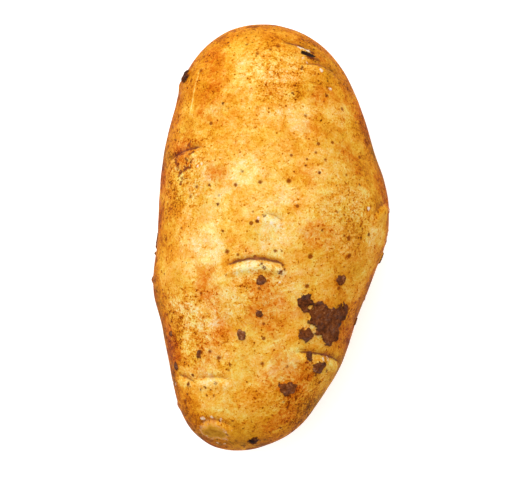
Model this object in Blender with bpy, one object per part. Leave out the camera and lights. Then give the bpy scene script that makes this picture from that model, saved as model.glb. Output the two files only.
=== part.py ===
"""A long yellow potato, lying on its side as it rests on a table.

It grew as one piece, so it is one solid: a long body with brows over its eyes, a stem scar, crusts of
dried soil stuck to its skin, and a small flat spot under its weight. Metres, +Z up. The long axis runs
along Y, with the stem end towards +Y, and the origin is on the table, under the middle of the box.

A place on the skin is (along, turn). along runs from -1 at the bud end, where the eyes crowd, to 1 at
the stem end. turn is in degrees round the long axis: 0 at the top, 90 on the +X side, 180 underneath.
"""

import math
import random

import bmesh
import bpy
import numpy as np
from mathutils import Vector, noise

# Driving dimensions
LENGTH = 0.125
WIDTH = 0.070
THICKNESS = 0.058
MM = 0.001

# The body's shape at evenly spaced stations, from the bud end to the stem end. SPINE and RISE shift
# the body sideways and up, in shares of half the width and half the thickness. GIRTH and DEPTH are
# how much wider and deeper it is there than an ellipse.
SPINE = (-0.24, -0.20, -0.125, -0.10, -0.065, 0.015, 0.025, -0.005, -0.02, -0.045, -0.06)
GIRTH = (1.10, 0.945, 0.91, 0.89, 0.94, 0.965, 0.973, 0.955, 0.98, 1.06, 1.14)
RISE = (0.10, 0.07, 0.03, 0.01, 0.0, 0.0, 0.0, 0.0, 0.01, 0.04, 0.06)
DEPTH = (1.12, 1.03, 0.97, 0.96, 0.98, 1.0, 1.0, 0.99, 1.0, 1.05, 1.14)

# Low lumps all over the body, their spacing in radii of the ball that the body is drawn out from
LUMP_SPACING = 0.45
LUMP_HEIGHT = 0.6 * MM

# The flat spot that it lies on is cut this deep. Nothing stands out of the skin near it: neither this
# far along nor within this many degrees of straight down.
FLAT_CUT = 0.5 * MM
FLAT_CLEAR_ALONG = 0.35
FLAT_CLEAR_TURN = 30

# Brows over the eyes: the middle (along, turn), half the span in degrees, how far the middle bows
# towards the stem end and how far the right end tilts that way, both along, then the crease's depth
# and the lip's height in millimetres. The lip lies on the crease's bud-end side.
BROWS = (
    (-0.10, -5, 15, 0.03, 0.00, 0.8, 0.9),
    (0.40, -55, 15, 0.01, 0.03, 0.6, 0.3),
    (0.15, 70, 10, 0.02, 0.03, 0.5, 0.6),
    (-0.55, 50, 25, 0.01, -0.03, 0.6, 0.7),
    (-0.65, -55, 10, 0.01, -0.02, 0.4, 0.3),
    (-0.65, -30, 15, 0.01, 0.00, 0.4, 0.4),
    (-0.85, -30, 20, 0.03, -0.01, 0.6, 0.6),
    (0.90, 35, 15, 0.02, -0.03, 0.7, 0.3),
    (0.80, 45, 15, 0.02, -0.02, 0.4, 0.3),
    (0.10, 0, 5, 0.01, -0.02, 0.4, 0.3),
)
CREASE_WIDTH = 0.75 * MM
SHELF_LENGTH = 2.5 * MM
LIP_WIDTH = 1.5 * MM
LIP_DISTANCE = 2.1 * MM
# Brows on the side that lies underneath follow the eyes' spiral, which is closer wound at the bud end
SPIRAL_EYES = 26
SPIRAL_REACH = (-0.85, 0.85)
SPIRAL_CROWDING = 1.3
SPIRAL_TURN = 137.5
SPIRAL_START = 20
SPIRAL_HIDDEN = 98
SPIRAL_HALF_SPAN = 6.5 * MM
SPIRAL_BOW = 2.0 * MM

# Crusts: how far each stands out in millimetres, then the lobes (along, turn, radius in millimetres)
# that it spreads from. Noise makes the outline ragged.
CRUSTS = {
    "large": (
        0.8,
        (
            (-0.40, 45, 5.0),
            (-0.35, 35, 3.5),
            (-0.30, 25, 2.4),
            (-0.35, 55, 2.5),
            (-0.45, 50, 3.5),
            (-0.45, 30, 2.2),
        ),
    ),
    "below_large": (0.5, ((-0.55, 35, 1.2),)),
    "low_right": (0.7, ((-0.60, 45, 2.2),)),
    "low_middle": (0.7, ((-0.70, 25, 1.8), (-0.70, 30, 1.8))),
    "bud_end": (0.6, ((-0.95, 15, 1.5),)),
    "right": (0.6, ((-0.20, 45, 1.5),)),
    "under_brow": (0.5, ((-0.20, 0, 1.4),)),
    "middle": (0.5, ((-0.35, 0, 1.1),)),
    "middle_left": (0.5, ((-0.45, -10, 1.3),)),
    "left": (0.4, ((-0.45, -65, 1.0),)),
    "low_left": (0.4, ((-0.55, -40, 0.9),)),
    "low_left_rim": (0.4, ((-0.60, -65, 1.0),)),
    "knob": (1.0, ((0.75, -75, 2.0),)),
    "right_rim": (0.4, ((-0.10, 85, 1.5),)),
    "low_right_rim": (0.4, ((-0.40, 85, 1.2),)),
}
CRUST_EDGE = 0.45 * MM
CRUST_MELT = 0.6 * MM
CRUST_RAGGED_SIZE = 1.7 * MM
CRUST_RAGGED = 1.2 * MM
CRUMB_SIZE = 1.8 * MM
CRUMB_HEIGHT = 0.3
# Crusts that the turned-down side carries, drawn at random
HIDDEN_CRUSTS = 9
HIDDEN_SEED = 7
# Small round rises and dents: two buds, a wart and the stem scar, as (along, turn, radius, height),
# the last two in millimetres
SPOTS = ((0.65, -40, 1.3, 0.5), (0.90, -25, 1.2, 0.5), (-0.20, -90, 1.3, 0.6), (0.97, 170, 4.5, -1.6))

# The skin is raised on a fine ball of triangles, and then thinned to this many
BALL_SUBDIVISIONS = 8
TRIANGLES = 10000
SKIN_COLOUR = (0.76, 0.42, 0.10, 1)
SKIN_ROUGHNESS = 0.5


def clear_scene():
    for thing in list(bpy.data.objects):
        bpy.data.objects.remove(thing)


def station_curve(values, along):
    """The smooth curve through evenly spaced values, read at along from -1 to 1."""
    values = np.asarray(values)
    spans = len(values) - 1
    place = (np.clip(along, -1, 1) + 1) / 2 * spans
    first = np.clip(np.floor(place).astype(int), 0, spans - 1)
    f = place - first
    padded = np.concatenate([[2 * values[0] - values[1]], values, [2 * values[-1] - values[-2]]])
    a, b, c, d = (padded[first + k] for k in range(4))
    return b + 0.5 * f * (c - a + f * (2 * a - 5 * b + 4 * c - d + f * (3 * b - a - 3 * c + d)))


def noise_at(points, spacing):
    return np.array([noise.noise(Vector(point) / spacing) for point in points])


def body_points(directions):
    """Where each direction from the middle of a unit ball lands on the body, before its relief."""
    along = directions[:, 1]
    x = WIDTH / 2 * (station_curve(SPINE, along) + directions[:, 0] * station_curve(GIRTH, along))
    z = THICKNESS / 2 * (station_curve(RISE, along) + directions[:, 2] * station_curve(DEPTH, along))
    lumps = LUMP_HEIGHT * noise_at(directions, LUMP_SPACING)
    return np.stack([x, LENGTH / 2 * along, z], axis=1) + directions * lumps[:, None]


def skin_place(along, turn):
    ring = math.sqrt(1 - along**2)
    turn = math.radians(turn)
    return body_points(np.array([[ring * math.sin(turn), along, ring * math.cos(turn)]]))[0]


def smooth_step(low, high, values):
    share = np.clip((values - low) / (high - low), 0, 1)
    return share * share * (3 - 2 * share)


def unit(vector):
    return vector / np.linalg.norm(vector)


def near_flat_spot(along, turn):
    return abs(along) < FLAT_CLEAR_ALONG and abs(turn) > 180 - FLAT_CLEAR_TURN


def brow_places(along, turn, half_span, bow, tilt):
    """A brow's left end, middle and right end."""
    left = along - bow - tilt, turn - half_span
    right = along - bow + tilt, turn + half_span
    return left, (along, turn), right


def hidden_brows():
    """The underside's brows, in the same form as BROWS."""
    found = []
    low, high = SPIRAL_REACH
    for k in range(SPIRAL_EYES):
        along = low + (high - low) * (k / (SPIRAL_EYES - 1)) ** SPIRAL_CROWDING
        turn = (SPIRAL_START + SPIRAL_TURN * k) % 360 - 180
        if abs(turn) < SPIRAL_HIDDEN or near_flat_spot(along, turn):
            continue
        size = 0.75 + 0.25 * math.cos(2.4 * k)
        bow = size * SPIRAL_BOW / (LENGTH / 2)
        span = math.degrees(size * SPIRAL_HALF_SPAN / (WIDTH / 2 * math.sqrt(1 - along**2)))
        found.append((along, turn, span, bow, 0, 0.7 * size, 0.7 * size))
    return found


def brow_fields(points, brow):
    """How far each point lies past the crease, towards the stem end, and its share in the brow."""
    left, apex, right = (skin_place(*place) for place in brow_places(*brow[:5]))
    middle, half = (left + right) / 2, np.linalg.norm(right - left) / 2
    chord = unit(right - left)
    bow_way = unit(np.cross(apex * [1, 0, 1], chord))
    if bow_way[1] < 0:
        bow_way = -bow_way
    away = points - middle
    across = away @ chord / half
    past = away @ bow_way - (apex - middle) @ bow_way * (1 - across**2)
    near = np.linalg.norm(away, axis=1) < 2 * half
    return past, near * (1 - smooth_step(0.65, 1.15, np.abs(across)))


def brow_relief(points):
    relief = np.zeros(len(points))
    for brow in (*BROWS, *hidden_brows()):
        past, share = brow_fields(points, brow)
        depth, lip = brow[5] * MM, brow[6] * MM
        crease = np.exp(-((past / CREASE_WIDTH) ** 2))
        shelf = np.exp(-np.abs(past) / np.where(past > 0, SHELF_LENGTH, CREASE_WIDTH))
        roll = np.exp(-(((past + LIP_DISTANCE) / LIP_WIDTH) ** 2))
        relief += share * (lip * roll - depth * (0.6 * crease + 0.4 * shelf))
    return relief


def hidden_crusts():
    """Clusters of discs on the side that faces down, clear of the flat spot."""
    draw = random.Random(HIDDEN_SEED)
    found = []
    while len(found) < HIDDEN_CRUSTS:
        along = draw.uniform(-0.85, 0.85)
        turn = draw.choice((-1, 1)) * draw.uniform(SPIRAL_HIDDEN, 180)
        if near_flat_spot(along, turn):
            continue
        size = draw.uniform(0.7, 1.6)
        discs = []
        for _ in range(draw.randint(2, 6)):
            place = along + size * draw.gauss(0, 0.022), turn + size * draw.gauss(0, 3)
            discs.append((*place, size * draw.uniform(0.6, 1.2)))
        found.append((draw.uniform(0.4, 0.8), discs))
    return found


def crust_relief(points):
    """The crusts' thickness: each is the melted, ragged outline of its lobes, with crumbs on top."""
    nearest = np.full(len(points), LENGTH)
    thickness = np.zeros(len(points))
    for height, discs in (*CRUSTS.values(), *hidden_crusts()):
        weight = np.full(len(points), 1e-20)
        for along, turn, radius in discs:
            gap = np.linalg.norm(points - skin_place(along, turn), axis=1) - radius * MM
            weight += np.exp(-gap / CRUST_MELT)
        gap = -CRUST_MELT * np.log(weight)
        thickness = np.where(gap < nearest, height * MM, thickness)
        nearest = np.minimum(nearest, gap)
    nearest = nearest + CRUST_RAGGED * noise_at(points, CRUST_RAGGED_SIZE)
    crumbs = 1 + CRUMB_HEIGHT * noise_at(points, CRUMB_SIZE)
    return thickness * crumbs * (1 - smooth_step(-CRUST_EDGE, 0, nearest))


def spot_relief(points):
    relief = np.zeros(len(points))
    for along, turn, radius, height in SPOTS:
        share = np.linalg.norm(points - skin_place(along, turn), axis=1) / (radius * MM)
        relief += height * MM * (1 - smooth_step(0, 1.3, share))
    return relief


def fine_skin():
    """The whole skin in fine triangles, raised from the smooth body along its normals."""
    skin = bmesh.new()
    bmesh.ops.create_icosphere(skin, subdivisions=BALL_SUBDIVISIONS, radius=1)
    points = body_points(np.array([vertex.co for vertex in skin.verts]))
    for vertex, place in zip(skin.verts, points):
        vertex.co = place
    skin.normal_update()
    relief = brow_relief(points) + crust_relief(points) + spot_relief(points)
    for vertex, height in zip(skin.verts, relief.tolist()):
        vertex.co += height * vertex.normal
    mesh = bpy.data.meshes.new("fine_skin")
    skin.to_mesh(mesh)
    skin.free()
    return mesh


def thinned(mesh):
    """The same skin in fewer triangles, most of them where it is least smooth."""
    carrier = bpy.data.objects.new("fine_skin", mesh)
    bpy.context.scene.collection.objects.link(carrier)
    decimate = carrier.modifiers.new("thin", "DECIMATE")
    decimate.ratio = TRIANGLES / len(mesh.polygons)
    graph = bpy.context.evaluated_depsgraph_get()
    thin = bpy.data.meshes.new_from_object(carrier.evaluated_get(graph))
    bpy.data.objects.remove(carrier)
    return thin


def cut_flat_spot(skin):
    """Cuts the lowest part away level, and closes the cut with one flat face."""
    level = min(vertex.co.z for vertex in skin.verts) + FLAT_CUT
    everything = [*skin.verts, *skin.edges, *skin.faces]
    up = Vector((0, 0, 1))
    cut = bmesh.ops.bisect_plane(skin, geom=everything, plane_co=level * up, plane_no=up, clear_inner=True)
    rim = [part for part in cut["geom_cut"] if isinstance(part, bmesh.types.BMEdge)]
    bmesh.ops.contextual_create(skin, geom=rim)


def stand_on_origin(skin):
    """Moves the middle of the box's underside to the origin."""
    places = np.array([vertex.co for vertex in skin.verts])
    low, high = places.min(axis=0), places.max(axis=0)
    middle = (low + high) / 2
    bmesh.ops.translate(skin, verts=skin.verts, vec=(-middle[0], -middle[1], -low[2]))


def skin_material():
    material = bpy.data.materials.new("potato_skin")
    material.use_nodes = True
    shader = material.node_tree.nodes["Principled BSDF"]
    shader.inputs["Base Color"].default_value = SKIN_COLOUR
    shader.inputs["Roughness"].default_value = SKIN_ROUGHNESS
    shader.inputs["Metallic"].default_value = 0.0
    material.diffuse_color = SKIN_COLOUR
    return material


def build_potato():
    mesh = thinned(fine_skin())
    skin = bmesh.new()
    skin.from_mesh(mesh)
    cut_flat_spot(skin)
    stand_on_origin(skin)
    bmesh.ops.recalc_face_normals(skin, faces=skin.faces)
    skin.to_mesh(mesh)
    skin.free()
    mesh.shade_smooth()
    mesh.materials.append(skin_material())
    potato = bpy.data.objects.new("potato", mesh)
    collection = bpy.data.collections.new("potato")
    bpy.context.scene.collection.children.link(collection)
    collection.objects.link(potato)


clear_scene()
build_potato()
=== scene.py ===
"""The finished look of the potato: one fine skin that replaces the plain solid, and its studio.

The skin repeats the solid's form at a finer grain, in the same frame, from the same named places. A
place on the skin is (along, turn). along runs from -1 at the bud end to 1 at the stem end, and turn
is in degrees round the long axis, from 0 at the top to 90 on the +X side and 180 underneath. Every
mark that sits at a place of its own is worked out on the mesh, as an attribute in millimetres or as a
share from 0 to 1, and the material turns those attributes and its own noise into colour and relief.
"""

import math
import random

import bmesh
import bpy
import numpy as np
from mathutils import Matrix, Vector, noise


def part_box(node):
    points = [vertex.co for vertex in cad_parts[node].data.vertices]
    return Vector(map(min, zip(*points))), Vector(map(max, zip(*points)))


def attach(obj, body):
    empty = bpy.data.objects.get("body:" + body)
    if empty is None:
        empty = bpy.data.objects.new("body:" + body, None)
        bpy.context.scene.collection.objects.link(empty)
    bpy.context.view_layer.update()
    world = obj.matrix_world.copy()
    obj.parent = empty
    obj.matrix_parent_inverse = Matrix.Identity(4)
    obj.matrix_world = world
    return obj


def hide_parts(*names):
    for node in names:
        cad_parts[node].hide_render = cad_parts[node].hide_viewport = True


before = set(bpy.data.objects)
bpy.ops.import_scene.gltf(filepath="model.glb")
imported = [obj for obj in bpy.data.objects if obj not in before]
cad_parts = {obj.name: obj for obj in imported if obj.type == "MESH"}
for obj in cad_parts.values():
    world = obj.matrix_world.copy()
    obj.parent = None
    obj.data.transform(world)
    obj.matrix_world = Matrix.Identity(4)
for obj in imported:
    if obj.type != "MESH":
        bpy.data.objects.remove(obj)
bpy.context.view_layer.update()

MM = 0.001
LOW, HIGH = (np.array(corner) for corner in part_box("potato"))
WIDTH, LENGTH, THICKNESS = (float(side) for side in HIGH - LOW)

# The body's shape at evenly spaced stations, from the bud end to the stem end, as in the solid
SPINE = (-0.24, -0.20, -0.125, -0.10, -0.065, 0.015, 0.025, -0.005, -0.02, -0.045, -0.06)
GIRTH = (1.10, 0.945, 0.91, 0.89, 0.94, 0.965, 0.973, 0.955, 0.98, 1.06, 1.14)
RISE = (0.10, 0.07, 0.03, 0.01, 0.0, 0.0, 0.0, 0.0, 0.01, 0.04, 0.06)
DEPTH = (1.12, 1.03, 0.97, 0.96, 0.98, 1.0, 1.0, 0.99, 1.0, 1.05, 1.14)
LUMP_SPACING = 0.45
LUMP_HEIGHT = 0.6 * MM

FLAT_CUT = 0.5 * MM
FLAT_CLEAR_ALONG = 0.35
FLAT_CLEAR_TURN = 30

# Brows over the eyes: the middle (along, turn), half the span in degrees, how far the middle bows
# towards the stem end and how far the right end tilts that way, both along, the crease's depth and
# the lip's height in millimetres, then how dark the painted shade in the crease is and how pale the
# painted highlight on the lip is
BROWS = (
    (-0.10, -5, 15, 0.03, 0.00, 0.8, 0.9, 0.85, 1.0),
    (0.40, -55, 15, 0.01, 0.03, 0.6, 0.3, 0.6, 0.3),
    (0.15, 70, 10, 0.02, 0.03, 0.5, 0.6, 0.3, 0.1),
    (-0.55, 50, 25, 0.01, -0.03, 0.6, 0.7, 0.6, 0.9),
    (-0.65, -55, 10, 0.01, -0.02, 0.4, 0.3, 0.4, 0.3),
    (-0.65, -30, 15, 0.01, 0.00, 0.4, 0.4, 0.3, 0.9),
    (-0.85, -30, 20, 0.03, -0.01, 0.6, 0.6, 0.3, 0.0),
    (0.90, 35, 15, 0.02, -0.03, 0.6, 0.2, 0.5, 0.3),
    (0.80, 45, 15, 0.02, -0.02, 0.4, 0.3, 0.4, 0.1),
    (0.10, 0, 5, 0.01, -0.02, 0.4, 0.3, 0.3, 0.5),
)
CREASE_WIDTH = 0.75 * MM
SHELF_LENGTH = 2.5 * MM
LIP_WIDTH = 1.5 * MM
LIP_DISTANCE = 2.1 * MM
# Brows on the side that lies underneath follow the eyes' spiral, which is closer wound at the bud end
SPIRAL_EYES = 26
SPIRAL_REACH = (-0.85, 0.85)
SPIRAL_CROWDING = 1.3
SPIRAL_TURN = 137.5
SPIRAL_START = 20
SPIRAL_HIDDEN = 98
SPIRAL_HALF_SPAN = 6.5 * MM
SPIRAL_BOW = 2.0 * MM

# Crusts of dried soil: how far each stands out in millimetres, then the lobes (along, turn, radius in
# millimetres) that it spreads from. Noise makes the outline ragged.
CRUSTS = {
    "large": (
        0.8,
        (
            (-0.40, 45, 5.0),
            (-0.35, 35, 3.5),
            (-0.30, 25, 2.4),
            (-0.35, 55, 2.5),
            (-0.45, 50, 3.5),
            (-0.45, 30, 2.2),
        ),
    ),
    "below_large": (0.5, ((-0.55, 35, 1.2),)),
    "low_right": (0.7, ((-0.60, 45, 2.2),)),
    "low_middle": (0.7, ((-0.70, 25, 1.8), (-0.70, 30, 1.8))),
    "bud_end": (0.6, ((-0.95, 15, 1.5),)),
    "right": (0.6, ((-0.20, 45, 1.5),)),
    "under_brow": (0.5, ((-0.20, 0, 1.4),)),
    "middle": (0.5, ((-0.35, 0, 1.1),)),
    "middle_left": (0.5, ((-0.45, -10, 1.3),)),
    "left": (0.4, ((-0.45, -65, 1.0),)),
    "low_left": (0.4, ((-0.55, -40, 0.9),)),
    "low_left_rim": (0.4, ((-0.60, -65, 1.0),)),
    "knob": (1.0, ((0.75, -75, 2.0),)),
    # The two rim marks below are dark brown places along the right rim, drawn the same way as the crusts
    "right_rim": (0.4, ((-0.10, 85, 1.5),)),
    "low_right_rim": (0.4, ((-0.40, 85, 1.2),)),
}
CRUST_EDGE = 0.45 * MM
CRUST_MELT = 0.6 * MM
CRUST_RAGGED_SIZE = 1.7 * MM
CRUST_RAGGED = 1.2 * MM
CRUMB_SIZE = 1.8 * MM
CRUMB_HEIGHT = 0.3
HIDDEN_CRUSTS = 9
HIDDEN_SEED = 7
# Small round rises and dents: two buds, a wart and the stem scar, as (along, turn, radius, height),
# the last two in millimetres
SPOTS = ((0.65, -40, 1.3, 0.5), (0.90, -25, 1.2, 0.5), (-0.20, -90, 1.3, 0.6), (0.97, 170, 4.5, -1.6))

# Small marks follow rules with seeded draws. Lenticels lie all over the skin, and scabs and flakes of
# torn skin gather round the brows. Radii are in millimetres.
MARKS_SEED = 11
LENTICEL_COUNT = 120
LENTICEL_RADII = (0.3, 0.75)
RINGED_EVERY = 25
SCABS_EACH_BROW = 5
SCABS_ELSEWHERE = 90
SCAB_RADII = (0.25, 0.8)
FLAKES_EACH_BROW = 2
FLAKE_RADII = (0.3, 0.7)
CRACKS_ELSEWHERE = 16
GATHERING = (0.07, 12)
# The eye whose skin is split by a ring of short cracks: its place, how far out the cracks reach from
# and to in millimetres, and how many there are
SPLIT_EYE = (0.35, -55)
SPLIT_REACH = (1.5, 6.0)
SPLIT_CRACKS = 18
# The wound under the brow at the stem end: its place, and the pits in a row along it
WOUND = (0.85, 40)
WOUND_PITS = 5
WOUND_PIT_STEP = 2.5
WOUND_PIT_RADIUS = 1.2
WOUND_FLAKE_RADIUS = 0.7
WOUND_SCAB_RADIUS = 0.8
# A long pale scratch down the stem end's left shoulder: its two ends, half-width and shade
SCRATCH = ((0.80, -55), (0.55, -55), 0.25, 1.0)
# The flat scar at the bud end: its middle, its lobes' spacing round the body and its radius
SCAR_PLACE = (-0.90, -35)
SCAR_STEP = 8
SCAR_RADIUS = 2.8
SCAR_FLAKES = 9
# Broad tints, as a few soft round patches, (along, turn, radius in mm, strength), over blotches of
# noise that cover the whole skin
BLOTCH_SIZE = 11 * MM
# Paler tone; the patches are partly paler skin and partly painted highlights where the light falls most
PALE_AND_HIGHLIGHT_PATCHES = (
    (0.70, -5, 14, 0.8),
    (0.10, -40, 10, 0.9),
    (0.05, 15, 8, 0.7),
    (0.35, 40, 9, 0.6),
    (-0.15, -10, 6, 0.7),
    (-0.65, -25, 13, 0.8),
)
# Deeper tone; the patches on the right rim and low on the right are painted shade on the side away from the
# light
DEEP_AND_SHADE_PATCHES = (
    (-0.20, 35, 10, 0.7),
    (0.05, 35, 9, 0.5),
    (-0.45, 70, 10, 0.9),
    (-0.75, 50, 14, 0.8),
    (0.40, 80, 14, 0.5),
)
RUSSET_PATCHES = (
    (0.75, 10, 10, 0.8),
    (0.30, -55, 12, 0.9),
    (-0.25, 0, 9, 0.8),
    (-0.40, -45, 13, 0.9),
    (-0.75, 45, 12, 0.7),
    (0.10, 40, 12, 0.8),
)
STAIN_PATCHES = (
    (0.40, -55, 6, 0.9),
    (0.30, -30, 4, 0.9),
    (-0.25, 0, 5, 0.9),
    (-0.50, -30, 7, 0.6),
    (-0.70, 35, 6, 0.7),
)
# Greener tone; the two patches on the right rim are painted shade, the colour of the side away from the
# light
OLIVE_AND_SHADE_PATCHES = (
    (0.30, 45, 11, 0.5),
    (0.35, 90, 12, 0.6),
    (-0.70, 85, 14, 0.7),
    (-0.95, 0, 9, 0.6),
)
# Small pinkish brown places, one at the middle of each brow, by radius and strength
BRUISE_RADIUS = 1.4
BRUISE_STRENGTH = 0.6
# Where the crusts are nearly black, their own dark colour and, along the large crust's right edge, painted
# shade: (along, turn, radius in mm, strength)
CRUST_DARK_AND_SHADE = (
    (-0.40, 60, 3.5, 1.0),
    (-0.30, 25, 2.0, 0.6),
    (-0.95, 15, 2.5, 0.9),
    (0.75, -80, 3.0, 0.9),
)
# Two low swellings on the left flank: (along, turn, radius, height), the last two in millimetres
SWELLS = ((-0.30, -85, 7, 0.6), (0.40, -85, 12, 0.5))

# How bright the studio's light is on a level surface, where 1 makes a white sheet look white
SKY_LIGHT = 0.45
KEY_LIGHT = 0.85
KEY_PLACE = (-0.2, 0.42, 1.0)
KEY_SIZE = 2.0
STUDIO_LIGHT = SKY_LIGHT + KEY_LIGHT
TABLE_GLOW = 0.4

# The camera: a long lens straight above. The potato's length fills this share of the picture's width,
# and the camera stands this share of the length left of the middle and towards the bud end.
LENS = 300
SENSOR_WIDTH = 36
FILLED_WIDTH = 0.8
CAMERA_LEFT = 0.01
CAMERA_DOWN = 0.005

# The skin's grain: the longest edge of a triangle, at large and near a mark
EDGE = 0.95 * MM
FINE_EDGE = 0.52 * MM
FINE_REACH = 0.4 * MM
SPLIT_ROUNDS = 4
RIPPLE_SIZE = 5 * MM
RIPPLE_HEIGHT = 0.12 * MM
STROKE_HEIGHT = 0.15 * MM


def seen(red, green, blue):
    """The surface colour that looks like this screen colour, 0 to 255, where the studio is brightest."""
    shares = (channel / 255 for channel in (red, green, blue))
    linear = (s / 12.92 if s <= 0.04045 else ((s + 0.055) / 1.055) ** 2.4 for s in shares)
    return (*(value / STUDIO_LIGHT for value in linear), 1)


# ---------------------------------------------------------------------------------------------
# The body, as in the solid
# ---------------------------------------------------------------------------------------------


def station_curve(values, along):
    """The smooth curve through evenly spaced values, read at along from -1 to 1."""
    values = np.asarray(values)
    spans = len(values) - 1
    place = (np.clip(along, -1, 1) + 1) / 2 * spans
    first = np.clip(np.floor(place).astype(int), 0, spans - 1)
    f = place - first
    padded = np.concatenate([[2 * values[0] - values[1]], values, [2 * values[-1] - values[-2]]])
    a, b, c, d = (padded[first + k] for k in range(4))
    return b + 0.5 * f * (c - a + f * (2 * a - 5 * b + 4 * c - d + f * (3 * b - a - 3 * c + d)))


def noise_at(points, spacing):
    return np.array([noise.noise(Vector(point) / spacing) for point in points])


def body_points(directions):
    """Where each direction from the middle of a unit ball lands on the body, before its relief."""
    along = directions[:, 1]
    x = WIDTH / 2 * (station_curve(SPINE, along) + directions[:, 0] * station_curve(GIRTH, along))
    z = THICKNESS / 2 * (station_curve(RISE, along) + directions[:, 2] * station_curve(DEPTH, along))
    lumps = LUMP_HEIGHT * noise_at(directions, LUMP_SPACING)
    return np.stack([x, LENGTH / 2 * along, z], axis=1) + directions * lumps[:, None]


def skin_place(along, turn):
    ring = math.sqrt(1 - along**2)
    turn = math.radians(turn)
    return body_points(np.array([[ring * math.sin(turn), along, ring * math.cos(turn)]]))[0]


def smooth_step(low, high, values):
    share = np.clip((values - low) / (high - low), 0, 1)
    return share * share * (3 - 2 * share)


def unit(vector):
    return vector / np.linalg.norm(vector)


def near_flat_spot(along, turn):
    return abs(along) < FLAT_CLEAR_ALONG and abs(turn) > 180 - FLAT_CLEAR_TURN


# ---------------------------------------------------------------------------------------------
# Marks at places of their own
# ---------------------------------------------------------------------------------------------


def brow_places(along, turn, half_span, bow, tilt):
    """A brow's left end, middle and right end."""
    left = along - bow - tilt, turn - half_span
    right = along - bow + tilt, turn + half_span
    return left, (along, turn), right


def hidden_brows():
    """The underside's brows, in the same form as BROWS."""
    found = []
    low, high = SPIRAL_REACH
    for k in range(SPIRAL_EYES):
        along = low + (high - low) * (k / (SPIRAL_EYES - 1)) ** SPIRAL_CROWDING
        turn = (SPIRAL_START + SPIRAL_TURN * k) % 360 - 180
        if abs(turn) < SPIRAL_HIDDEN or near_flat_spot(along, turn):
            continue
        size = 0.75 + 0.25 * math.cos(2.4 * k)
        bow = size * SPIRAL_BOW / (LENGTH / 2)
        span = math.degrees(size * SPIRAL_HALF_SPAN / (WIDTH / 2 * math.sqrt(1 - along**2)))
        found.append((along, turn, span, bow, 0, 0.7 * size, 0.7 * size, 0.8 * size, 0.6 * size))
    return found


ALL_BROWS = (*BROWS, *hidden_brows())


def line_fields(points, places):
    """How far each point lies past the line through three places, and its share in the line."""
    left, apex, right = (skin_place(*place) for place in places)
    middle, half = (left + right) / 2, np.linalg.norm(right - left) / 2
    chord = unit(right - left)
    bow_way = unit(np.cross(apex * [1, 0, 1], chord))
    if bow_way[1] < 0:
        bow_way = -bow_way
    away = points - middle
    across = away @ chord / half
    past = away @ bow_way - (apex - middle) @ bow_way * (1 - across**2)
    near = np.linalg.norm(away, axis=1) < 2 * half
    return past, near * (1 - smooth_step(0.65, 1.15, np.abs(across)))


def brow_relief(points):
    relief = np.zeros(len(points))
    for brow in ALL_BROWS:
        past, share = line_fields(points, brow_places(*brow[:5]))
        depth, lip = brow[5] * MM, brow[6] * MM
        crease = np.exp(-((past / CREASE_WIDTH) ** 2))
        shelf = np.exp(-np.abs(past) / np.where(past > 0, SHELF_LENGTH, CREASE_WIDTH))
        roll = np.exp(-(((past + LIP_DISTANCE) / LIP_WIDTH) ** 2))
        relief += share * (lip * roll - depth * (0.6 * crease + 0.4 * shelf))
    return relief


def hidden_crusts():
    """Clusters of discs on the side that faces down, clear of the flat spot."""
    draw = random.Random(HIDDEN_SEED)
    found = []
    while len(found) < HIDDEN_CRUSTS:
        along = draw.uniform(-0.85, 0.85)
        turn = draw.choice((-1, 1)) * draw.uniform(SPIRAL_HIDDEN, 180)
        if near_flat_spot(along, turn):
            continue
        size = draw.uniform(0.7, 1.6)
        discs = []
        for _ in range(draw.randint(2, 6)):
            place = along + size * draw.gauss(0, 0.022), turn + size * draw.gauss(0, 3)
            discs.append((*place, size * draw.uniform(0.6, 1.2)))
        found.append((draw.uniform(0.4, 0.8), discs))
    return found


ALL_CRUSTS = (*CRUSTS.values(), *hidden_crusts())


def crust_fields(points):
    """How far each point is outside the nearest crust's outline, and that crust's thickness."""
    nearest = np.full(len(points), LENGTH)
    thickness = np.zeros(len(points))
    for height, discs in ALL_CRUSTS:
        weight = np.full(len(points), 1e-20)
        for along, turn, radius in discs:
            gap = np.linalg.norm(points - skin_place(along, turn), axis=1) - radius * MM
            weight += np.exp(-gap / CRUST_MELT)
        gap = -CRUST_MELT * np.log(weight)
        thickness = np.where(gap < nearest, height * MM, thickness)
        nearest = np.minimum(nearest, gap)
    return nearest + CRUST_RAGGED * noise_at(points, CRUST_RAGGED_SIZE), thickness


def crust_relief(points):
    nearest, thickness = crust_fields(points)
    crumbs = 1 + CRUMB_HEIGHT * noise_at(points, CRUMB_SIZE)
    return thickness * crumbs * (1 - smooth_step(-CRUST_EDGE, 0, nearest))


def spot_relief(points, spots):
    relief = np.zeros(len(points))
    for along, turn, radius, height in spots:
        share = np.linalg.norm(points - skin_place(along, turn), axis=1) / (radius * MM)
        relief += height * MM * (1 - smooth_step(0, 1.3, share))
    return relief


def beside(along, turn, reach, way):
    """The place reach millimetres from another, way radians round it from the +X side."""
    ring = math.sqrt(1 - along**2)
    further = reach * MM * math.sin(way) / (LENGTH / 2)
    round_it = math.degrees(reach * MM * math.cos(way) / (WIDTH / 2 * ring))
    return max(-0.97, min(0.97, along + further)), turn + round_it


def anywhere(draw):
    """A place drawn evenly over the skin, clear of the very ends."""
    return draw.uniform(-0.93, 0.93), draw.uniform(-180, 180)


def near_a_brow(draw, brow):
    """A place near a brow, mostly on its bud-end side."""
    spread_along, spread_turn = GATHERING
    along = brow[0] - abs(draw.gauss(0, spread_along)) + 0.01
    return max(-0.96, along), brow[1] + draw.gauss(0, spread_turn)


def sized(draw, radii):
    """A radius within the limits, more often a small one."""
    low, high = radii
    return low + (high - low) * draw.random() ** 2


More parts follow.
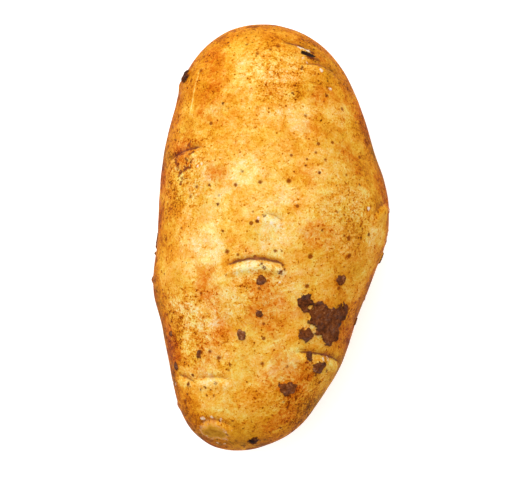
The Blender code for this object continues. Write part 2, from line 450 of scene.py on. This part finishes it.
def drawn_marks():
    """The lenticels, scabs, flakes and cracks that follow rules alone."""
    draw = random.Random(MARKS_SEED)
    lenticels = [(*anywhere(draw), sized(draw, LENTICEL_RADII)) for _ in range(LENTICEL_COUNT)]
    scabs = [(*anywhere(draw), sized(draw, SCAB_RADII)) for _ in range(SCABS_ELSEWHERE)]
    flakes = []
    for brow in ALL_BROWS:
        scabs += [(*near_a_brow(draw, brow), sized(draw, SCAB_RADII)) for _ in range(SCABS_EACH_BROW)]
        flakes += [(*near_a_brow(draw, brow), sized(draw, FLAKE_RADII)) for _ in range(FLAKES_EACH_BROW)]
    cracks = []
    for _ in range(CRACKS_ELSEWHERE):
        middle, way = anywhere(draw), draw.uniform(-0.6, 0.6)
        ends = [beside(*middle, reach, way) for reach in (-draw.uniform(1, 3), draw.uniform(1, 3))]
        cracks.append((ends[0], middle, ends[1], draw.uniform(0.12, 0.25), -draw.uniform(0.4, 0.7)))
    return lenticels, scabs, flakes, cracks


def split_eye_cracks():
    """Short dark cracks all round the split eye, each across the way out from its middle."""
    draw = random.Random(MARKS_SEED + 1)
    found = []
    for k in range(SPLIT_CRACKS):
        way = 2 * math.pi * k / SPLIT_CRACKS + draw.uniform(-0.3, 0.3)
        middle = beside(*SPLIT_EYE, draw.uniform(*SPLIT_REACH), way)
        lean = draw.choice((0.2, math.pi / 2)) + draw.uniform(-0.4, 0.4)
        half = draw.uniform(0.7, 1.8)
        ends = [beside(*middle, reach, lean) for reach in (-half, half)]
        found.append((ends[0], middle, ends[1], draw.uniform(0.25, 0.6), -draw.uniform(0.7, 1.0)))
    return found


def scratch():
    """The pale scratch, as one stroke."""
    start, end, half_width, shade = SCRATCH
    middle = (start[0] + end[0]) / 2, (start[1] + end[1]) / 2 + 1
    return start, middle, end, half_width, shade


def scar_lobes():
    """The scar's three lobes, side by side round the body."""
    along, turn = SCAR_PLACE
    return [(along - 0.01 * abs(k), turn + SCAR_STEP * k, SCAR_RADIUS - 0.5 * abs(k)) for k in (-1, 0, 1)]


def scar_flakes():
    """Torn skin round the scar's edge."""
    draw = random.Random(MARKS_SEED + 2)
    ways = [2 * math.pi * k / SCAR_FLAKES for k in range(SCAR_FLAKES)]
    return [(*beside(*SCAR_PLACE, SCAR_RADIUS + 1.2, way), sized(draw, FLAKE_RADII)) for way in ways]


def wound_pits():
    """A row of pits along the wound, widest in its middle."""
    along, turn = WOUND
    steps = [k - (WOUND_PITS - 1) / 2 for k in range(WOUND_PITS)]
    return [(along - 0.003 * k, turn + WOUND_PIT_STEP * k, WOUND_PIT_RADIUS - 0.1 * k * k) for k in steps]


def wound_flakes():
    """Torn skin along the stem-end side of the wound."""
    return [(along + 0.03, turn, WOUND_FLAKE_RADIUS) for along, turn, _ in wound_pits()]


def wound_scabs():
    """Dark scabs along the bud-end side of the wound."""
    return [(along - 0.02, turn + 2, WOUND_SCAB_RADIUS) for along, turn, _ in wound_pits()]


LENTICELS, SCABS, FLAKES, CRACKS = drawn_marks()
FLAKES += scar_flakes() + wound_flakes()
SCABS += wound_scabs()
STROKES = CRACKS + split_eye_cracks() + [scratch()]
RINGS = LENTICELS[::RINGED_EVERY]
SCAR = scar_lobes()
PITS = wound_pits()
BRUISES = [(brow[0], brow[1], BRUISE_RADIUS, BRUISE_STRENGTH) for brow in ALL_BROWS]


def blotches(points, offset):
    """Soft patches of noise all over the skin, different for each offset."""
    return smooth_step(0.05, 0.4, noise_at(points + offset * LENGTH, BLOTCH_SIZE))


def gap_to(points, discs):
    """How far each point is outside the nearest of the discs, in metres."""
    gap = np.full(len(points), LENGTH)
    for along, turn, radius in discs:
        gap = np.minimum(gap, np.linalg.norm(points - skin_place(along, turn), axis=1) - radius * MM)
    return gap


def patch_shares(points, patches):
    """How strongly the soft patches cover each point."""
    bare = np.ones(len(points))
    for along, turn, radius, strength in patches:
        share = np.linalg.norm(points - skin_place(along, turn), axis=1) / (radius * MM)
        bare *= 1 - strength * np.exp(-1.2 * share**2)
    return 1 - bare


def brow_marks(points):
    """For the nearest brow: how far past its crease each point is, and how much painted shade and painted
    highlight it puts there.
    """
    nearest, dark, pale = (np.full(len(points), start) for start in (LENGTH, 0.0, 0.0))
    for brow in ALL_BROWS:
        past, share = line_fields(points, brow_places(*brow[:5]))
        closer = (share > 0) & (np.abs(past) < np.abs(nearest))
        nearest = np.where(closer, past, nearest)
        dark = np.where(closer, brow[7] * share, dark)
        pale = np.where(closer, brow[8] * share, pale)
    return nearest, dark, pale


def stroke_marks(points):
    """For the nearest stroke: how far each point is off its line, its half-width, and its shade."""
    nearest, width, shade = (np.full(len(points), start) for start in (LENGTH, 0.0, 0.0))
    for *places, half_width, strength in STROKES:
        past, share = line_fields(points, places)
        closer = (share > 0) & (np.abs(past) < np.abs(nearest))
        nearest = np.where(closer, past, nearest)
        width = np.where(closer, half_width * share, width)
        shade = np.where(closer, strength * share, shade)
    return nearest, width, shade


# ---------------------------------------------------------------------------------------------
# The skin's mesh
# ---------------------------------------------------------------------------------------------


def small_relief(points):
    """What the solid leaves out: ripples in the skin, and the height of each small mark."""
    relief = RIPPLE_HEIGHT * noise_at(points, RIPPLE_SIZE) + spot_relief(points, SWELLS)
    for discs, height in ((SCABS, 0.15), (LENTICELS, -0.12), (FLAKES, 0.15), (PITS, -0.15)):
        relief += height * MM * (1 - smooth_step(-0.4 * MM, 0.2 * MM, gap_to(points, discs)))
    past, width, shade = stroke_marks(points)
    line = np.exp(-((past / np.maximum(width * MM, 0.1 * MM)) ** 2))
    return relief + STROKE_HEIGHT * shade * line


def edge_limits(points):
    """The longest edge allowed at each point: fine near a mark's outline."""
    fine = np.abs(crust_fields(points)[0]) < FINE_REACH + CRUST_EDGE
    for discs in (SCABS, LENTICELS, RINGS, FLAKES, PITS):
        fine |= gap_to(points, discs) < FINE_REACH
    past, dark, _ = brow_marks(points)
    fine |= (dark > 0.05) & (np.abs(past + 0.5 * MM) < 2 * MM)
    past, width, _ = stroke_marks(points)
    fine |= (width > 0.05) & (np.abs(past) < FINE_REACH)
    return np.where(fine, FINE_EDGE, EDGE)


def split_long_edges(ball):
    edges = list(ball.edges)
    ends = [np.array([edge.verts[k].co for edge in edges]) for k in (0, 1)]
    points = [body_points(end) for end in ends]
    lengths = np.linalg.norm(points[0] - points[1], axis=1)
    limits = edge_limits((points[0] + points[1]) / 2)
    picked = [edge for edge, split in zip(edges, lengths > limits) if split]
    bmesh.ops.subdivide_edges(ball, edges=picked, cuts=1)
    bmesh.ops.triangulate(ball, faces=[face for face in ball.faces if len(face.verts) > 3])
    for vertex in ball.verts:
        vertex.co.normalize()


def cut_flat_spot(skin):
    """Cuts the lowest part away level, and closes the cut with one flat face."""
    level = min(vertex.co.z for vertex in skin.verts) + FLAT_CUT
    everything = [*skin.verts, *skin.edges, *skin.faces]
    up = Vector((0, 0, 1))
    cut = bmesh.ops.bisect_plane(skin, geom=everything, plane_co=level * up, plane_no=up, clear_inner=True)
    rim = [part for part in cut["geom_cut"] if isinstance(part, bmesh.types.BMEdge)]
    made = bmesh.ops.contextual_create(skin, geom=rim)
    bmesh.ops.triangulate(skin, faces=made["faces"])


def fit_to_box(places):
    """Moves and trims the places so that their box is the solid's box."""
    low, high = places.min(axis=0), places.max(axis=0)
    return LOW + (places - low) * (HIGH - LOW) / (high - low)


def mark_fields(directions, points):
    """Every attribute that the material reads, by name. Gaps and widths are in millimetres."""
    brow_past, brow_dark, brow_pale = brow_marks(points)
    stroke_past, stroke_width, stroke_shade = stroke_marks(points)
    under = smooth_step(0.25, -0.25, directions[:, 2])
    hidden_russet = under * smooth_step(-0.05, 0.35, noise_at(points, 13 * MM))
    crust_gap, thickness = crust_fields(points)
    small_crust = smooth_step(0.8 * MM, 0.6 * MM, thickness)
    gaps = {
        "crust_gap": crust_gap,
        "scab_gap": gap_to(points, SCABS),
        "lenticel_gap": gap_to(points, LENTICELS),
        "ring_gap": gap_to(points, RINGS),
        "flake_gap": gap_to(points, FLAKES),
        "pit_gap": gap_to(points, PITS),
        "scar_gap": gap_to(points, SCAR),
        "brow_past": brow_past,
        "stroke_past": stroke_past,
    }
    shares = {
        "brow_dark": brow_dark,
        "brow_pale": brow_pale,
        "stroke_width": stroke_width,
        "stroke_shade": stroke_shade,
        # side: a painted shade share, 0 on the top and rising to 1 round the rim, less towards the stem end
        "side": smooth_step(0.95, 0.0, np.hypot(directions[:, 2], 0.25 * np.maximum(directions[:, 1], 0))),
        "pale": np.maximum(patch_shares(points, PALE_AND_HIGHLIGHT_PATCHES), 0.7 * blotches(points, 1)),
        "deep": np.maximum(patch_shares(points, DEEP_AND_SHADE_PATCHES), 0.5 * blotches(points, 2)),
        "russet": np.maximum(patch_shares(points, RUSSET_PATCHES), hidden_russet),
        "stain": np.maximum(patch_shares(points, STAIN_PATCHES), 0.7 * blotches(points, 3)),
        "olive": np.maximum(patch_shares(points, OLIVE_AND_SHADE_PATCHES), 0.4 * blotches(points, 4)),
        "bruise": patch_shares(points, BRUISES),
        "crust_dark_shade": patch_shares(points, CRUST_DARK_AND_SHADE) - 0.1 * small_crust,
    }
    return {name: np.clip(gap / MM, -6, 6) for name, gap in gaps.items()} | shares


def build_skin():
    skin = bmesh.new()
    bmesh.ops.create_icosphere(skin, subdivisions=6, radius=1)
    for _ in range(SPLIT_ROUNDS):
        split_long_edges(skin)
    directions = np.array([vertex.co for vertex in skin.verts])
    points = body_points(directions)
    for vertex, place in zip(skin.verts, points):
        vertex.co = place
    skin.normal_update()
    for name, values in mark_fields(directions, points).items():
        layer = skin.verts.layers.float.new(name)
        for vertex, value in zip(skin.verts, values.tolist()):
            vertex[layer] = value
    relief = brow_relief(points) + crust_relief(points) + spot_relief(points, SPOTS) + small_relief(points)
    for vertex, height in zip(skin.verts, relief.tolist()):
        vertex.co += height * vertex.normal
    cut_flat_spot(skin)
    places = fit_to_box(np.array([vertex.co for vertex in skin.verts]))
    for vertex, place in zip(skin.verts, places):
        vertex.co = place
    bmesh.ops.recalc_face_normals(skin, faces=skin.faces)
    mesh = bpy.data.meshes.new("potato_skin")
    skin.to_mesh(mesh)
    skin.free()
    mesh.shade_smooth()
    piece = bpy.data.objects.new("potato_skin", mesh)
    bpy.context.scene.collection.objects.link(piece)
    return piece


# ---------------------------------------------------------------------------------------------
# The skin's material
# ---------------------------------------------------------------------------------------------


class Shading:
    """Builds a node tree out of short expressions. Sockets and plain numbers mix freely."""

    def __init__(self, name):
        self.material = bpy.data.materials.new(name)
        self.material.use_nodes = True
        self.tree = self.material.node_tree
        self.shader = self.tree.nodes["Principled BSDF"]
        self.where = self.tree.nodes.new("ShaderNodeTexCoord").outputs["Object"]

    def feed(self, socket, value):
        if isinstance(value, bpy.types.NodeSocket):
            self.tree.links.new(value, socket)
        else:
            socket.default_value = value

    def attribute(self, name):
        made = self.tree.nodes.new("ShaderNodeAttribute")
        made.attribute_name = name
        return made.outputs["Fac"]

    def math(self, operation, *values):
        made = self.tree.nodes.new("ShaderNodeMath")
        made.operation = operation
        for socket, value in zip(made.inputs, values):
            self.feed(socket, value)
        return made.outputs[0]

    def total(self, first, *others):
        for other in others:
            first = self.math("ADD", first, other)
        return first

    def less(self, a, b):
        return self.math("SUBTRACT", a, b)

    def times(self, a, b):
        return self.math("MULTIPLY", a, b)

    def ramp(self, value, start, end, low=0.0, high=1.0):
        """low at start, high at end, and an eased run between them."""
        made = self.tree.nodes.new("ShaderNodeMapRange")
        made.interpolation_type = "SMOOTHSTEP"
        for socket, given in zip(made.inputs, (value, start, end, low, high)):
            self.feed(socket, given)
        return made.outputs[0]

    def mix(self, share, under, over, blend="MIX"):
        """over on top of under, by share."""
        made = self.tree.nodes.new("ShaderNodeMix")
        made.data_type = "RGBA"
        made.blend_type = blend
        self.feed(made.inputs["Factor"], share)
        self.feed(made.inputs[6], under)
        self.feed(made.inputs[7], over)
        return made.outputs[2]

    def colours(self, value, stops):
        """The colour at value along a run of (position, colour) stops."""
        made = self.tree.nodes.new("ShaderNodeValToRGB")
        run = made.color_ramp.elements
        while len(run) < len(stops):
            run.new(1)
        for element, (position, colour) in zip(run, stops):
            element.position = position
            element.color = colour
        self.feed(made.inputs["Fac"], value)
        return made.outputs["Color"]

    def stretched(self, share):
        """Places squeezed by share round the body, so that noise there runs in streaks round it."""
        made = self.tree.nodes.new("ShaderNodeVectorMath")
        made.operation = "MULTIPLY"
        self.feed(made.inputs[0], self.where)
        self.feed(made.inputs[1], (share, 1, share))
        return made.outputs[0]

    def noise(self, size, detail=3.0, roughness=0.55, distortion=0.0, where=None):
        """Noise whose largest features are about size metres across, around 0, mostly within 0.3."""
        made = self.tree.nodes.new("ShaderNodeTexNoise")
        self.feed(made.inputs["Vector"], where or self.where)
        for name, value in (
            ("Scale", 1 / size),
            ("Detail", detail),
            ("Roughness", roughness),
            ("Distortion", distortion),
        ):
            self.feed(made.inputs[name], value)
        return self.less(made.outputs["Fac"], 0.5)

    def dots(self, spacing, smallest, largest, softness):
        """The share of scattered soft dots. Radii and softness are in parts of the spacing."""
        made = self.tree.nodes.new("ShaderNodeTexVoronoi")
        self.feed(made.inputs["Vector"], self.where)
        self.feed(made.inputs["Scale"], 1 / spacing)
        radius = self.ramp(made.outputs["Color"], 0.2, 0.8, smallest, largest)
        return self.ramp(self.less(made.outputs["Distance"], radius), -softness, softness, 1.0, 0.0)

    def bump(self, height, distance):
        made = self.tree.nodes.new("ShaderNodeBump")
        self.feed(made.inputs["Height"], height)
        self.feed(made.inputs["Distance"], distance)
        return made.outputs["Normal"]


# The skin's colours by tone, from its darkest flecks to its palest places
SKIN_TONES = (
    (0.0, seen(92, 42, 2)),
    (0.15, seen(158, 80, 4)),
    (0.3, seen(206, 117, 10)),
    (0.45, seen(236, 152, 26)),
    (0.6, seen(248, 181, 62)),
    (0.75, seen(253, 206, 104)),
    (0.9, seen(255, 226, 140)),
    (1.0, seen(255, 239, 172)),
)
MIDDLE_TONE = 0.64
# Factors on that colour: a painted shade on the sides, and where the skin is rosier, greener or creamier
# than usual
SIDE_SHADE_TINT = (1.0, 0.96, 0.62, 1)
ROSE_TINT = (1.02, 0.91, 1.1, 1)
LEMON_TINT = (0.99, 1.05, 0.92, 1)
CREAM_TINT = (0.98, 1.01, 1.35, 1)
RUST_TINT = (0.87, 0.54, 0.26, 1)
OLIVE = seen(214, 168, 44)
PURPLE_BROWN = seen(118, 58, 40)
LENTICEL_BROWN = seen(150, 68, 6)
BRUISE = seen(188, 108, 60)
SCAB_BROWN = seen(118, 48, 12)
CRUST_TONES = (
    (0.0, seen(30, 17, 14)),
    (0.3, seen(80, 42, 22)),
    (0.55, seen(122, 62, 26)),
    (0.8, seen(150, 84, 40)),
    (1.0, seen(196, 140, 98)),
)
CRUST_GREY = seen(112, 78, 66)
FLAKE_PALE = seen(255, 236, 205)
FLAKE_PINK = seen(238, 172, 118)
SCAR_OLIVE = seen(164, 106, 4)
SCAR_PALE = seen(212, 154, 44)
SCAR_RIM = seen(238, 182, 116)
PIT_DARK = seen(44, 24, 14)


def skin_material():
    s = Shading("potato_skin")
    ragged = s.noise(0.9 * MM, 4.0, 0.65)
    frayed = s.noise(2.2 * MM, 3.0, 0.6)
    russet = s.attribute("russet")

    # Tone: even grain at every size, then the broad patches
    grain = s.times(s.noise(6 * MM, 6.0, 0.95, 0.25), 2.2)
    combed = s.times(s.noise(1.6 * MM, 2.0, 0.8, 0.6, s.stretched(0.45)), 0.4)
    grit = s.times(s.noise(0.55 * MM, 1.0, 0.9), 0.5)
    clouds = s.times(s.noise(16 * MM, 1.0, 0.5), 0.4)
    liveliness = s.ramp(russet, 0.0, 0.8, 0.68, 1.2)
    tone = s.total(MIDDLE_TONE, s.times(s.total(grain, combed, grit), liveliness), clouds)
    # Painted shade: the tone falls towards the sides, where the body turns away from the light
    side = s.attribute("side")
    tone = s.less(tone, s.times(side, 0.26))
    tone = s.less(tone, s.ramp(side, 0.55, 1.0, 0.0, 0.14))
    tone = s.total(tone, s.times(russet, 0.04))
    # Deeper tone: random blotches, and painted shade on the right side
    tone = s.less(tone, s.times(s.attribute("deep"), 0.16))
    # Paler tone: random blotches, and partly painted highlights
    pale = s.total(s.attribute("pale"), s.times(frayed, 1.2))
    tone = s.total(tone, s.ramp(pale, 0.15, 1.0, 0.0, 0.22))

    # Russet: a broken net of fine lines, and flecks between them
    net = s.math("ABSOLUTE", s.noise(2.4 * MM, 2.0, 0.6, 1.8))
    net_mask = s.total(s.noise(3.2 * MM, 3.0, 0.6), s.times(russet, 0.16))
    net_share = s.times(s.ramp(net, 0.0, 0.05, 1.0, 0.0), s.ramp(net_mask, 0.04, 0.22))
    flecks = s.total(s.noise(1.3 * MM, 3.0, 0.65, 0.7), s.times(russet, 0.10))
    fleck_share = s.ramp(flecks, 0.09, 0.2)
    crumbs = s.total(s.noise(0.6 * MM, 2.0, 0.6, 0.3), s.times(russet, 0.07))
    crumb_share = s.ramp(crumbs, 0.14, 0.22)
    tone = s.less(tone, s.times(net_share, 0.2))
    tone = s.less(tone, s.times(fleck_share, 0.25))
    tone = s.less(tone, s.times(crumb_share, 0.26))

    # Specks and lenticels scattered all over
    specks = s.dots(1.9 * MM, 0.0, 0.15, 0.07)
    fine_specks = s.dots(1.15 * MM, -0.08, 0.15, 0.09)
    speck_share = s.math("MAXIMUM", specks, fine_specks)
    pore_share = s.times(s.dots(4.8 * MM, 0.0, 0.125, 0.035), 0.9)
    tone = s.less(tone, s.times(speck_share, 0.42))

    # Lenticels at places of their own
    lenticel_gap = s.total(s.attribute("lenticel_gap"), s.times(ragged, 0.9))
    lenticel_share = s.ramp(lenticel_gap, -0.35, 0.4, 0.95, 0.0)
    ring = s.math("ABSOLUTE", s.total(s.attribute("ring_gap"), 0.2, s.times(ragged, 0.7)))
    ring_share = s.ramp(ring, 0.0, 0.3, 1.0, 0.0)
    tone = s.less(tone, s.times(ring_share, 0.3))

    # Brows: painted shade in the crease and on the fold past it, and a painted highlight on the lip before
    # it
    brow_past = s.total(s.attribute("brow_past"), s.times(ragged, 0.9), s.times(frayed, 0.6))
    brow_dark = s.attribute("brow_dark")
    crease_width = s.ramp(brow_dark, 0.0, 1.0, 0.05, 0.42)
    crease_gap = s.less(s.math("ABSOLUTE", brow_past), crease_width)
    crease_shade = s.times(s.ramp(crease_gap, -0.25, 0.25, 1.0, 0.0), s.ramp(brow_dark, 0.0, 0.6, 0.0, 0.95))
    fold_shade = s.times(s.ramp(brow_past, 0.0, 2.2, 1.0, 0.0), s.ramp(brow_past, -0.3, 0.1))
    fold_shade = s.times(fold_shade, brow_dark)
    lip_highlight = s.times(s.ramp(brow_past, -0.3, -1.2), s.ramp(brow_past, -4.0, -1.8))
    lip_highlight = s.times(lip_highlight, s.attribute("brow_pale"))
    tone = s.less(tone, s.times(fold_shade, 0.3))
    tone = s.total(tone, s.times(lip_highlight, s.ramp(frayed, -0.25, 0.15, 0.02, 0.22)))

    # Strokes
    stroke_shade = s.attribute("stroke_shade")
    stroke_off = s.math("ABSOLUTE", s.total(s.attribute("stroke_past"), s.times(ragged, 1.3)))
    stroke_gap = s.less(stroke_off, s.attribute("stroke_width"))
    stroke_share = s.ramp(stroke_gap, -0.2, 0.15, 1.0, 0.0)
    tone = s.total(tone, s.times(s.times(stroke_share, stroke_shade), 0.3))
    stroke_dark = s.times(stroke_share, s.ramp(stroke_shade, -1.0, -0.3, 0.9, 0.0))
    stroke_dark = s.times(stroke_dark, s.ramp(s.noise(1.2 * MM, 3.0, 0.7), -0.15, 0.05, 0.4, 1.0))

    colour = s.colours(tone, SKIN_TONES)
    hue = s.noise(7 * MM, 5.0, 0.85, 0.3)
    tint = s.mix(s.ramp(hue, -0.16, 0.16), LEMON_TINT, ROSE_TINT)
    colour = s.mix(1.0, colour, tint, "MULTIPLY")
    # Painted shade: the sides turn darker and deeper yellow
    colour = s.mix(side, colour, SIDE_SHADE_TINT, "MULTIPLY")
    # Creamier places follow random noise and, in part, the painted highlights of the pale patches; the
    # sides' painted shade takes cream away
    cream = s.total(s.noise(5 * MM, 5.0, 0.8, 0.3), s.times(s.attribute("pale"), 0.12), s.times(side, -0.1))
    colour = s.mix(s.ramp(cream, 0.0, 0.3, 0.0, 0.8), colour, CREAM_TINT, "MULTIPLY")
    # Olive: random blotches, and on the right rim painted shade
    olive_share = s.ramp(s.total(s.attribute("olive"), s.times(frayed, 0.8)), 0.0, 1.2, 0.0, 0.6)
    colour = s.mix(olive_share, colour, OLIVE)
    streaks = s.noise(1.8 * MM, 4.0, 0.7, 1.0)
    stain = s.total(s.attribute("stain"), s.times(russet, 0.3), s.times(streaks, 2.6))
    stain_share = s.times(s.ramp(stain, 0.15, 1.2), s.ramp(s.attribute("stain"), -0.3, 0.5))
    marked = s.total(s.times(fleck_share, 0.35), s.times(crumb_share, 0.35), s.times(net_share, 0.45))
    stain_share = s.total(stain_share, marked)
    colour = s.mix(stain_share, colour, RUST_TINT, "MULTIPLY")
    colour = s.mix(stroke_dark, colour, PURPLE_BROWN)
    pore_share = s.math("MAXIMUM", pore_share, lenticel_share)
    colour = s.mix(pore_share, colour, LENTICEL_BROWN)
    # Painted shade in the brows' creases and on their folds
    colour = s.mix(s.times(crease_shade, 0.9), colour, PURPLE_BROWN)
    colour = s.mix(s.times(fold_shade, 0.4), colour, PURPLE_BROWN)
    bruise = s.total(s.attribute("bruise"), s.times(frayed, 1.0))
    colour = s.mix(s.ramp(bruise, 0.2, 0.9, 0.0, 0.75), colour, BRUISE)

    # The scar and scabs
    scar_gap = s.total(s.attribute("scar_gap"), s.times(s.noise(3 * MM, 4.0, 0.7), 4.0))
    scar_rim = s.times(s.ramp(scar_gap, 0.9, 0.1), s.ramp(scar_gap, -0.9, -0.1))
    colour = s.mix(s.times(scar_rim, s.ramp(ragged, -0.1, 0.1, 0.1, 0.7)), colour, SCAR_RIM)
    scar_share = s.ramp(scar_gap, -1.2, 0.4, 0.78, 0.0)
    scar_depth = s.total(scar_gap, s.times(s.noise(1.4 * MM, 4.0, 0.8), 5.0))
    colour = s.mix(scar_share, colour, s.mix(s.ramp(scar_depth, -2.6, -0.4), SCAR_OLIVE, SCAR_PALE))
    scab_gap = s.total(s.attribute("scab_gap"), s.times(ragged, 2.4))
    scab_share = s.ramp(scab_gap, -0.4, 0.15, 0.95, 0.0)
    colour = s.mix(scab_share, colour, SCAB_BROWN)

    # Crusts: crumbly brown, with greyish places, near black in their darkest places and, along the large
    # crust's right edge, with painted shade
    crust_gap = s.total(s.attribute("crust_gap"), s.times(ragged, 1.6), s.times(frayed, 1.2))
    crust_share = s.ramp(crust_gap, -0.18, 0.12, 1.0, 0.0)
    crumbled = s.total(s.times(s.noise(1.2 * MM, 3.0, 0.8), 1.8), s.times(s.noise(4 * MM, 2.0, 0.6), 0.8))
    crust_tone = s.total(0.6, crumbled, s.times(s.attribute("crust_dark_shade"), -0.45))
    # Painted shade: each crust darkens towards its outline
    crust_tone = s.less(crust_tone, s.ramp(crust_gap, -0.6, 0.0, 0.0, 0.12))
    crust_colour = s.colours(crust_tone, CRUST_TONES)
    greyness = s.ramp(s.noise(2.6 * MM, 4.0, 0.7), -0.02, 0.14, 0.0, 0.6)
    crust_colour = s.mix(greyness, crust_colour, CRUST_GREY)
    colour = s.mix(crust_share, colour, crust_colour)
    soil_stain = s.ramp(crust_gap, 0.0, 0.8, 0.35, 0.0)
    colour = s.mix(s.times(soil_stain, s.less(1.0, crust_share)), colour, RUST_TINT, "MULTIPLY")

    # Torn skin and holes
    flake_gap = s.total(s.attribute("flake_gap"), s.times(ragged, 2.8))
    flake_share = s.ramp(flake_gap, -0.4, 0.1, 0.95, 0.0)
    torn = s.total(s.noise(0.8 * MM), s.times(s.attribute("scar_gap"), -0.03))
    flake_colour = s.mix(s.ramp(torn, -0.1, 0.12), FLAKE_PALE, FLAKE_PINK)
    colour = s.mix(flake_share, colour, flake_colour)
    pit_share = s.ramp(s.total(s.attribute("pit_gap"), s.times(ragged, 1.5)), -0.3, 0.15, 1.0, 0.0)
    colour = s.mix(pit_share, colour, PIT_DARK)

    s.feed(s.shader.inputs["Base Color"], colour)
    rough = s.ramp(s.total(fleck_share, net_share, crust_share), 0.0, 1.5, 0.6, 0.8)
    s.feed(s.shader.inputs["Roughness"], rough)
    s.shader.inputs["IOR"].default_value = 1.4
    s.shader.inputs["Specular IOR Level"].default_value = 0.03

    # Relief too fine for the mesh
    height = s.total(s.times(s.noise(0.7 * MM, 4.0, 0.65), 0.6), s.times(s.noise(2.6 * MM, 3.0, 0.5), 1.2))
    height = s.total(height, s.times(fleck_share, 0.25), s.times(net_share, -0.25))
    height = s.total(height, s.times(pore_share, -0.6))
    height = s.total(height, s.times(crust_share, s.times(s.noise(1.3 * MM, 4.0, 0.75), 6.0)))
    s.feed(s.shader.inputs["Normal"], s.bump(height, 0.14 * MM))
    return s.material


# ---------------------------------------------------------------------------------------------
# The studio
# ---------------------------------------------------------------------------------------------


def soft_light(name, place, size, level):
    """A round light that gives level on a level surface at the potato, facing it."""
    light = bpy.data.lights.new(name, "AREA")
    light.shape = "DISK"
    light.size = size
    distance = Vector(place).length
    steepness = place[2] / distance
    light.energy = level * math.pi**2 * (distance**2 + size**2 / 4) / steepness
    lamp = bpy.data.objects.new(name, light)
    lamp.location = place
    bpy.context.scene.collection.objects.link(lamp)
    lamp.rotation_euler = Vector(place).to_track_quat("Z", "Y").to_euler()


def build_floor():
    skin = bmesh.new()
    bmesh.ops.create_grid(skin, x_segments=1, y_segments=1, size=3)
    mesh = bpy.data.meshes.new("floor")
    skin.to_mesh(mesh)
    skin.free()
    material = bpy.data.materials.new("floor")
    material.use_nodes = True
    shader = material.node_tree.nodes["Principled BSDF"]
    shader.inputs["Base Color"].default_value = (0.9, 0.9, 0.9, 1)
    shader.inputs["Roughness"].default_value = 0.9
    shader.inputs["Specular IOR Level"].default_value = 0.1
    shader.inputs["Emission Color"].default_value = (1, 1, 1, 1)
    shader.inputs["Emission Strength"].default_value = TABLE_GLOW
    mesh.materials.append(material)
    floor = bpy.data.objects.new("floor", mesh)
    bpy.context.scene.collection.objects.link(floor)
    return floor


def light_studio():
    world = bpy.data.worlds.new("studio")
    world.use_nodes = True
    backdrop = world.node_tree.nodes["Background"]
    backdrop.inputs["Color"].default_value = (1, 1, 1, 1)
    backdrop.inputs["Strength"].default_value = SKY_LIGHT
    bpy.context.scene.world = world
    soft_light("key", KEY_PLACE, KEY_SIZE, KEY_LIGHT)


def place_camera():
    """Straight above, a little left of the middle and towards the bud end."""
    camera = bpy.data.cameras.new("camera")
    camera.lens = LENS
    camera.sensor_width = SENSOR_WIDTH
    across = LENGTH / FILLED_WIDTH
    eye = bpy.data.objects.new("camera", camera)
    height = THICKNESS / 2 + across * LENS / SENSOR_WIDTH
    eye.location = (-CAMERA_LEFT * LENGTH, -CAMERA_DOWN * LENGTH, height)
    bpy.context.scene.collection.objects.link(eye)
    bpy.context.scene.camera = eye


potato = build_skin()
potato.data.materials.append(skin_material())
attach(potato, "root")
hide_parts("potato")
build_floor()
light_studio()
place_camera()
bpy.context.scene.view_settings.view_transform = "Standard"
